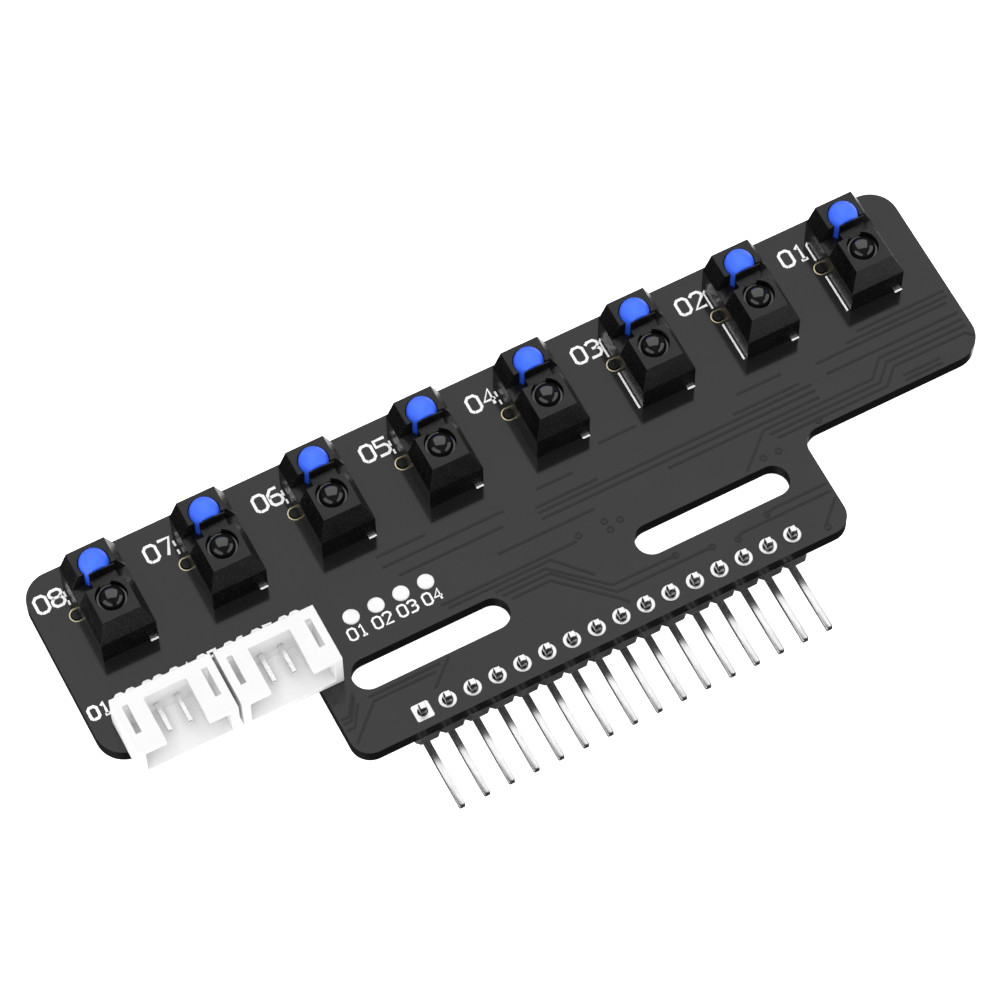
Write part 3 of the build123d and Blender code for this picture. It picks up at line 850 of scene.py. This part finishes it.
def detector_dome(number, at):
    low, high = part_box(f"sensor_{number}_detector")
    radius = (high.x - low.x) / 2
    rim, crown_foot = high.z - DETECTOR_RISE, radius - DETECTOR_STEP
    work = bmesh.new()
    lathe(work, at, dome_profile(low.z, rim, crown_foot, radius, high.z))
    mesh = finished_mesh(work, "detector_dome")
    dome = piece(f"sensor_{number}_detector_dome", mesh, DARK_RESIN)
    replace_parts(dome, f"sensor_{number}_detector")


def emitter_dome(number, at):
    """A blue half sphere on its barrel, cut away at one side to clear the light stop."""
    low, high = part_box(f"sensor_{number}_emitter")
    radius = (high.x - low.x) / 2
    work = bmesh.new()
    lathe(work, at, dome_profile(low.z, high.z - radius, radius, radius, high.z, 18), 64)
    reach = 3 * radius
    corner = Vector((at.x - STOP_LEFT, at.y - STOP_BACK, 0))
    corner.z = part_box(f"sensor_{number}_detector")[1].z - STOP_DROP
    cut = bmesh.new()
    for vert in bmesh.ops.create_cube(cut, size=reach)["verts"]:
        vert.co += corner + Vector((reach, -reach, reach)) / 2
    cutter_mesh = bpy.data.meshes.new("cutter")
    cut.to_mesh(cutter_mesh)
    cut.free()
    cutter = bpy.data.objects.new("cutter", cutter_mesh)
    holder = bpy.data.objects.new("holder", finished_mesh(work, "emitter_dome"))
    scene.collection.objects.link(cutter)
    scene.collection.objects.link(holder)
    clearance = holder.modifiers.new("clearance", "BOOLEAN")
    clearance.operation = "DIFFERENCE"
    clearance.solver = "EXACT"
    clearance.object = cutter
    bpy.context.view_layer.update()
    evaluated = holder.evaluated_get(bpy.context.evaluated_depsgraph_get())
    shaped = bpy.data.meshes.new_from_object(evaluated)
    bpy.data.objects.remove(holder)
    bpy.data.objects.remove(cutter)
    shade(shaped)
    dome = piece(f"sensor_{number}_emitter_dome", shaped, BLUE)
    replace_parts(dome, f"sensor_{number}_emitter")


for number, detector, emitter in zip(CHANNELS, detectors, emitters):
    broken_edges(f"sensor_{number}_housing", SENSOR_BLACK, 0.07)
    detector_dome(number, detector)
    emitter_dome(number, emitter)
    carry(f"sensor_{number}_leads", TIN_LEAD)


# ---------------------------------------------------------------- ports

for side in ("left", "right"):
    broken_edges(f"{side}_port_housing", NYLON, 0.05)
    broken_edges(f"{side}_port_pins", TIN_LEAD, 0.05)


# ---------------------------------------------------------------- solder

LEAD_HALF = 0.225 * MM
NECK = 0.3 * MM
PORT_WAYS, PORT_PITCH = 4, 2 * MM


def lead_places(number):
    """Where a sensor's four leads leave the back of the board."""
    low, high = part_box(f"sensor_{number}_leads")
    xs = (low.x + LEAD_HALF, high.x - LEAD_HALF)
    ys = (detectors[0].y, emitters[0].y)
    return [(x, y, board_bottom) for x in xs for y in ys]


sensor_places = [place for number in CHANNELS for place in lead_places(number)]
solder_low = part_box("sensor_solder")[0]
sensor_foot = min(x for x, y, z in sensor_places) - solder_low.x
drop = board_bottom - solder_low.z
sensor_joints = solder_fillets("sensor_joint", sensor_places, SOLDER, sensor_foot, NECK, drop)
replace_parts(piece("sensor_solder_joints", sensor_joints, None), "sensor_solder")

port_low, port_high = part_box("port_solder")
port_foot = (port_high.y - port_low.y) / 2
tail_y = (port_low.y + port_high.y) / 2
port_places = []
for side in ("left", "right"):
    first_x = centre(f"{side}_port_pins").x - (PORT_WAYS - 1) / 2 * PORT_PITCH
    port_places += [(first_x + i * PORT_PITCH, tail_y, board_bottom) for i in range(PORT_WAYS)]
drop = board_bottom - port_low.z
port_joints = solder_fillets("port_joint", port_places, SOLDER, port_foot, NECK, drop)
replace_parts(piece("port_solder_joints", port_joints, None), "port_solder")


# ---------------------------------------------------------------- parts on the back face

def islands(node):
    """Lowest and highest corners of each separate solid of a CAD piece."""
    work = bmesh.new()
    work.from_mesh(frame["nodes"][node].data)
    bmesh.ops.remove_doubles(work, verts=work.verts, dist=WELD)
    seen = set()
    boxes = []
    for start in work.verts:
        if start in seen:
            continue
        seen.add(start)
        group, waiting = [start], [start]
        while waiting:
            vert = waiting.pop()
            for edge in vert.link_edges:
                other = edge.other_vert(vert)
                if other not in seen:
                    seen.add(other)
                    group.append(other)
                    waiting.append(other)
        low = Vector([min(v.co[k] for v in group) for k in range(3)])
        high = Vector([max(v.co[k] for v in group) for k in range(3)])
        boxes.append((low, high))
    work.free()
    return sorted(boxes, key=lambda box: (round(box[0].x, 6), round(box[0].y, 6)))


def blocks(name, boxes, finish, soft):
    """Small blocks with rounded edges, as one mesh."""
    work = bmesh.new()
    for low, high in boxes:
        made = bmesh.ops.create_cube(work, size=1.0)
        middle, span = (low + high) / 2, high - low
        for vert in made["verts"]:
            vert.co = Vector([vert.co[k] * span[k] + middle[k] for k in range(3)])
    bmesh.ops.bevel(work, geom=work.edges[:], offset=soft, segments=2, profile=0.5, affect="EDGES")
    return piece(name, finished_mesh(work, name), finish)


def chip_parts(node, body_finish, cap_share):
    """Surface-mount chips: a ceramic body a little lower and narrower than its two metal ends."""
    bodies, ends = [], []
    for low, high in islands(node):
        span = high - low
        long = 0 if span.x > span.y else 1
        inset = Vector((0.03 * MM, 0.03 * MM, 0))
        bodies.append((low + inset + Vector((0, 0, 0.02 * MM)), high - inset))
        cap = span[long] * cap_share
        first_high = high.copy()
        first_high[long] = low[long] + cap
        second_low = low.copy()
        second_low[long] = high[long] - cap
        ends += [(low, first_high), (second_low, high)]
    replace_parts(blocks(f"{node}_bodies", bodies, body_finish, 0.03 * MM), node)
    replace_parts(blocks(f"{node}_ends", ends, TIN_PAD, 0.04 * MM), node)


chip_parts("resistors", RESISTOR_FILM, 0.2)
chip_parts("capacitors", CAPACITOR_TAN, 0.22)
chip_parts("channel_lamps", LAMP_RESIN, 0.18)
chip_parts("power_lamp", LAMP_RESIN, 0.18)

broken_edges("microcontroller_body", COMPOUND, 0.08)
broken_edges("regulator_body", COMPOUND, 0.08)
broken_edges("microcontroller_leads", TIN_LEAD, 0.03)
broken_edges("regulator_leads", TIN_LEAD, 0.03)
broken_edges("key_base", COMPOUND, 0.1)
broken_edges("key_cover", STEEL, 0.04)
broken_edges("key_leads", TIN_LEAD, 0.03)
broken_edges("key_plunger", BUTTON_BLACK, 0.12, 3, "key_button")

dome_low, dome_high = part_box("key_dome")
joints = frame["record"]["behaviour"]["joints"]
press = next(joint for joint in joints if joint["name"] == "key_press")
travel = press["range_m"][1] - press["range_m"][0]
dome = piece("key_dome_spring", merged_copy("key_dome"), STEEL)
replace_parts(dome, "key_dome")
1 - travel / (dome_high.z - dome_low.z)
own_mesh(dome)


# ---------------------------------------------------------------- floor, light and camera

def studio_floor():
    """A pale floor that glows enough to hide its shadows, and is clear when seen from below."""
    mesh = bpy.data.meshes.new("studio_floor")
    reach = 3.0
    level = cad_box[0][2] - 0.05 * MM
    turns = ((-1, -1), (1, -1), (1, 1), (-1, 1))
    corners = [(x * reach, y * reach, level) for x, y in turns]
    mesh.from_pydata(corners, [], [(0, 1, 2, 3)])
    f = Finish("studio_floor", base_color=grey(0.8), roughness=0.9, specular_ior_level=0.0)
    f.shader.inputs["Emission Color"].default_value = grey(1.0)
    f.shader.inputs["Emission Strength"].default_value = 1.0
    below = f.node("ShaderNodeNewGeometry", {}, {}, "Backfacing")
    f.feed(f.shader.inputs["Alpha"], 1 - below)
    mesh.materials.append(f.material)
    floor = bpy.data.objects.new("studio_floor", mesh)
    scene.collection.objects.link(floor)
    floor.visible_glossy = False
    floor.visible_shadow = False


def softbox(name, toward, distance, width, radiance, mirrored=True):
    """A square light panel, aimed at the board, of an even brightness."""
    light = bpy.data.lights.new(name, "AREA")
    light.shape = "SQUARE"
    light.size = width
    light.energy = radiance * pi * width * width
    panel = bpy.data.objects.new(name, light)
    panel.location = Vector(toward).normalized() * distance
    panel.rotation_euler = Vector(toward).to_track_quat("Z", "Y").to_euler()
    panel.visible_glossy = mirrored
    scene.collection.objects.link(panel)


studio_floor()
softbox("back_panel", (0.17, 0.53, 0.83), 1.2, 1.75, 1.1)
softbox("left_panel", (-0.90, -0.43, 0.14), 1.2, 1.8, 0.9)
softbox("right_panel", (0.78, -0.59, 0.05), 1.2, 1.8, 0.9)
softbox("under_right_panel", (0.75, 0.35, -0.55), 1.2, 1.2, 1.5)
softbox("under_left_panel", (-0.80, -0.30, -0.50), 1.2, 1.2, 1.5)
softbox("fill_panel", (-0.15, -0.35, 0.92), 1.4, 1.0, 4.1, False)

world = bpy.data.worlds.new("studio")
scene.world = world
world.use_nodes = True
sky = world.node_tree
backdrop = sky.nodes["Background"]
ray = sky.nodes.new("ShaderNodeLightPath")


def sky_mix(kind, share, otherwise):
    """The sky's brightness for one kind of ray, and what it is for the rest."""
    made = sky.nodes.new("ShaderNodeMix")
    made.data_type = "RGBA"
    sky.links.new(ray.outputs[kind], made.inputs[0])
    if isinstance(otherwise, bpy.types.NodeSocket):
        sky.links.new(otherwise, made.inputs[6])
    else:
        made.inputs[6].default_value = otherwise
    made.inputs[7].default_value = share
    return made.outputs[2]


mirrored_sky = sky_mix("Is Glossy Ray", grey(0.035), grey(0.3))
sky.links.new(sky_mix("Is Camera Ray", grey(1.0), mirrored_sky), backdrop.inputs["Color"])
scene.view_settings.view_transform = "Standard"

AIM = Vector((-2.05, 10.30, 0)) * MM
DISTANCE = 436.6 * MM
HEADING, ELEVATION, ROLL = radians(26.95), radians(63.13), radians(-0.767)
LENS_LENGTH, SENSOR_WIDTH = 170.3, 36
sight = Vector((sin(HEADING), cos(HEADING), 0)) * cos(ELEVATION) - Vector((0, 0, sin(ELEVATION)))
level_right = Vector((cos(HEADING), -sin(HEADING), 0))
level_up = level_right.cross(sight)
right = level_right * cos(ROLL) + level_up * sin(ROLL)
up = level_up * cos(ROLL) - level_right * sin(ROLL)
eye = AIM - sight * DISTANCE
lens = bpy.data.cameras.new("camera")
lens.lens = LENS_LENGTH
lens.sensor_width = SENSOR_WIDTH
lens.clip_start = 0.01
camera = bpy.data.objects.new("camera", lens)
camera.matrix_world = Matrix(
    (
        (right.x, up.x, -sight.x, eye.x),
        (right.y, up.y, -sight.y, eye.y),
        (right.z, up.z, -sight.z, eye.z),
        (0, 0, 0, 1),
    )
)
scene.collection.objects.link(camera)
scene.camera = camera
